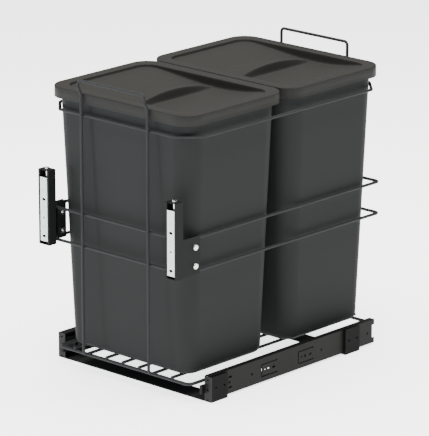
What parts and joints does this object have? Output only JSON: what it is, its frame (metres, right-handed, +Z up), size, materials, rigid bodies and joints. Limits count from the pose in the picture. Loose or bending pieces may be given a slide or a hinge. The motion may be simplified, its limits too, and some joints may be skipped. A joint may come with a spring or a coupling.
{
  "type": "pull-out waste bin frame",
  "caption": "Wire basket on ball-bearing slides that carries lidded waste bins out of a kitchen cabinet, with brackets for the cabinet door.",
  "frame": {"origin": "on the floor, under the middle of the closed frame's box", "axes": "+Z up, -Y towards the cabinet's door and the pull direction, +X to the right seen from the door"},
  "size_m": [0.3828, 0.5572, 0.5553],
  "materials": {
    "slide_steel": "black zinc-plated rolled steel",
    "cage_steel": "bright stamped steel strip",
    "ball_steel": "polished bearing balls",
    "block_paint": "dark grey powder coat",
    "cross_plate_paint": "black powder coat",
    "wire_paint": "grey silk powder coat on welded wire",
    "plate_white": "light powder coat",
    "zinc_screw": "bright zinc",
    "bin_plastic": "moulded, fine satin grain",
    "lid_plastic": "moulded, fine satin grain"
  },
  "bodies": {
    "base": {"outer_member_left": "slide_steel", "outer_member_right": "slide_steel", "front_block_left": "block_paint", "front_block_right": "block_paint", "rear_block_left": "block_paint", "rear_block_right": "block_paint", "front_cross_plate": "cross_plate_paint", "rear_cross_plate": "cross_plate_paint"},
    "middle_members": {"middle_member_left": "slide_steel", "middle_member_right": "slide_steel"},
    "outer_cages": {"outer_ball_cage_left": "cage_steel", "outer_ball_cage_right": "cage_steel", "outer_balls_left": "ball_steel", "outer_balls_right": "ball_steel"},
    "inner_cages": {"inner_ball_cage_left": "cage_steel", "inner_ball_cage_right": "cage_steel", "inner_balls_left": "ball_steel", "inner_balls_right": "ball_steel"},
    "tray": {"inner_member_left": "slide_steel", "inner_member_right": "slide_steel", "end_plate_left": "block_paint", "end_plate_right": "block_paint", "carrier_left": "slide_steel", "carrier_right": "slide_steel", "door_bracket_left": "wire_paint", "door_bracket_right": "wire_paint", "clamp_plate_left": "wire_paint", "clamp_plate_right": "wire_paint", "carrier_rivets": "zinc_screw", "basket_rim": "wire_paint", "floor_wire_far_left": "wire_paint", "floor_wire_left": "wire_paint", "floor_wire_middle": "wire_paint", "floor_wire_right": "wire_paint", "floor_wire_far_right": "wire_paint", "front_loop": "wire_paint", "rear_loop": "wire_paint", "top_ring": "wire_paint", "upper_middle_ring": "wire_paint", "lower_middle_ring": "wire_paint", "adjusting_screws": "zinc_screw", "bracket_bolts": "zinc_screw", "bracket_nuts": "zinc_screw"},
    "door_plate_left": {"door_plate_left": "plate_white"},
    "door_plate_right": {"door_plate_right": "plate_white"},
    "front_bin": {"front_bin": "bin_plastic"},
    "rear_bin": {"rear_bin": "bin_plastic"},
    "front_lid": {"front_lid": "lid_plastic"},
    "rear_lid": {"rear_lid": "lid_plastic"}
  },
  "joints": [
    {"name": "pull_out", "type": "slide", "parent": "base", "child": "tray", "axis": [0, -1, 0], "range_m": [0, 0.45]},
    {"name": "middle_travel", "type": "slide", "parent": "base", "child": "middle_members", "axis": [0, -1, 0], "range_m": [0, 0.225]},
    {"name": "outer_cage_travel", "type": "slide", "parent": "base", "child": "outer_cages", "axis": [0, -1, 0], "range_m": [0, 0.1125]},
    {"name": "inner_cage_travel", "type": "slide", "parent": "base", "child": "inner_cages", "axis": [0, -1, 0], "range_m": [0, 0.3375]},
    {"name": "door_height_left", "type": "slide", "parent": "tray", "child": "door_plate_left", "axis": [0, 0, 1], "range_m": [0, 0.01]},
    {"name": "door_height_right", "type": "slide", "parent": "tray", "child": "door_plate_right", "axis": [0, 0, 1], "range_m": [0, 0.01]},
    {"name": "front_bin_lift", "type": "slide", "parent": "tray", "child": "front_bin", "axis": [0, 0, 1], "range_m": [0, 0.46]},
    {"name": "rear_bin_lift", "type": "slide", "parent": "tray", "child": "rear_bin", "axis": [0, 0, 1], "range_m": [0, 0.46]},
    {"name": "front_lid_lift", "type": "slide", "parent": "front_bin", "child": "front_lid", "axis": [0, 0, 1], "range_m": [0, 0.06]},
    {"name": "rear_lid_lift", "type": "slide", "parent": "rear_bin", "child": "rear_lid", "axis": [0, 0, 1], "range_m": [0, 0.06]}
  ],
  "couplings": [
    {"joint": "middle_travel", "follows": "pull_out", "ratio": 0.5},
    {"joint": "outer_cage_travel", "follows": "pull_out", "ratio": 0.25},
    {"joint": "inner_cage_travel", "follows": "pull_out", "ratio": 0.75}
  ]
}
